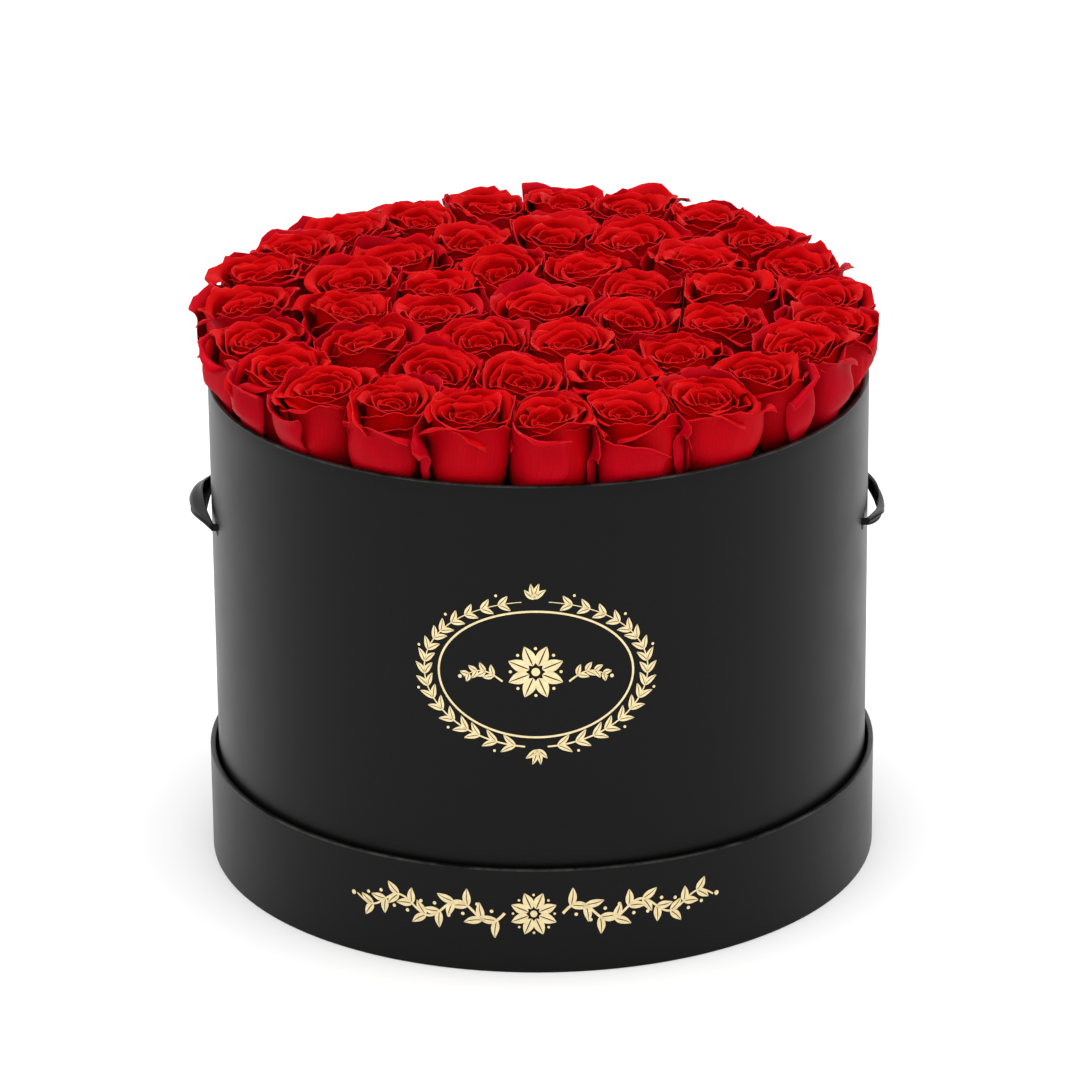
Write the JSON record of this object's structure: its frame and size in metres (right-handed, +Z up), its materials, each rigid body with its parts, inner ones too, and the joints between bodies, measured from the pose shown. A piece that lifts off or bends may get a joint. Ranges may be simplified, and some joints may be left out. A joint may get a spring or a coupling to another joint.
{
  "type": "flower box",
  "caption": "Round black paper-covered flower box with ribbon side handles, packed with red rose heads in foam, standing in a shallow base tray it lifts out of.",
  "frame": {"origin": "centre of the base tray's underside, on the surface that the box stands on", "axes": "+Z up along the axis of the box, -Y towards the front with the gold decoration, +X to the right-hand ribbon handle"},
  "size_m": [0.3752, 0.36, 0.3131],
  "materials": {
    "cover_paper": "satin black printed covering paper with a fine uncoated grain",
    "greyboard": "raw grey bookbinding board, matt",
    "foam": "dark green dry floral foam, crumbly open pores, matt",
    "rose": "soft velvety red petals with paler edges and dark red shade between them",
    "ribbon": "black satin ribbon, glossy along the folds",
    "gold_foil": "thin pale gold foil stamped on the paper, satin"
  },
  "bodies": {
    "tray": {"tray_wall": "greyboard", "tray_floor": "greyboard", "tray_cover": "cover_paper"},
    "box": {"box_tube": "greyboard", "box_cover": "cover_paper", "box_floor": "greyboard", "riser_ring": "greyboard", "platform": "greyboard", "foam_block": "foam", "ribbon_inner_left": "ribbon", "ribbon_inner_right": "ribbon", "rose_01": "rose", "rose_02": "rose", "rose_03": "rose", "rose_04": "rose", "rose_05": "rose", "rose_06": "rose", "rose_07": "rose", "rose_08": "rose", "rose_09": "rose", "rose_10": "rose", "rose_11": "rose", "rose_12": "rose", "rose_13": "rose", "rose_14": "rose", "rose_15": "rose", "rose_16": "rose", "rose_17": "rose", "rose_18": "rose", "rose_19": "rose", "rose_20": "rose", "rose_21": "rose", "rose_22": "rose", "rose_23": "rose", "rose_24": "rose", "rose_25": "rose", "rose_26": "rose", "rose_27": "rose", "rose_28": "rose", "rose_29": "rose", "rose_30": "rose", "rose_31": "rose", "rose_32": "rose", "rose_33": "rose", "rose_34": "rose", "rose_35": "rose", "rose_36": "rose", "rose_37": "rose", "rose_38": "rose", "rose_39": "rose", "rose_40": "rose", "rose_41": "rose", "rose_42": "rose", "rose_43": "rose", "rose_44": "rose", "rose_45": "rose", "rose_46": "rose"},
    "handle_left": {"ribbon_handle_left": "ribbon"},
    "handle_right": {"ribbon_handle_right": "ribbon"}
  },
  "joints": [
    {"name": "box_lift", "type": "slide", "parent": "tray", "child": "box", "axis": [0, 0, 1], "range_m": [0, 0.075]},
    {"name": "handle_left_swing", "type": "hinge", "parent": "box", "child": "handle_left", "pos_m": [-0.1735, 0, 0.1945], "axis": [0, 1, 0], "range_deg": [-25, 25]},
    {"name": "handle_right_swing", "type": "hinge", "parent": "box", "child": "handle_right", "pos_m": [0.1735, 0, 0.1945], "axis": [0, -1, 0], "range_deg": [-25, 25]}
  ]
}
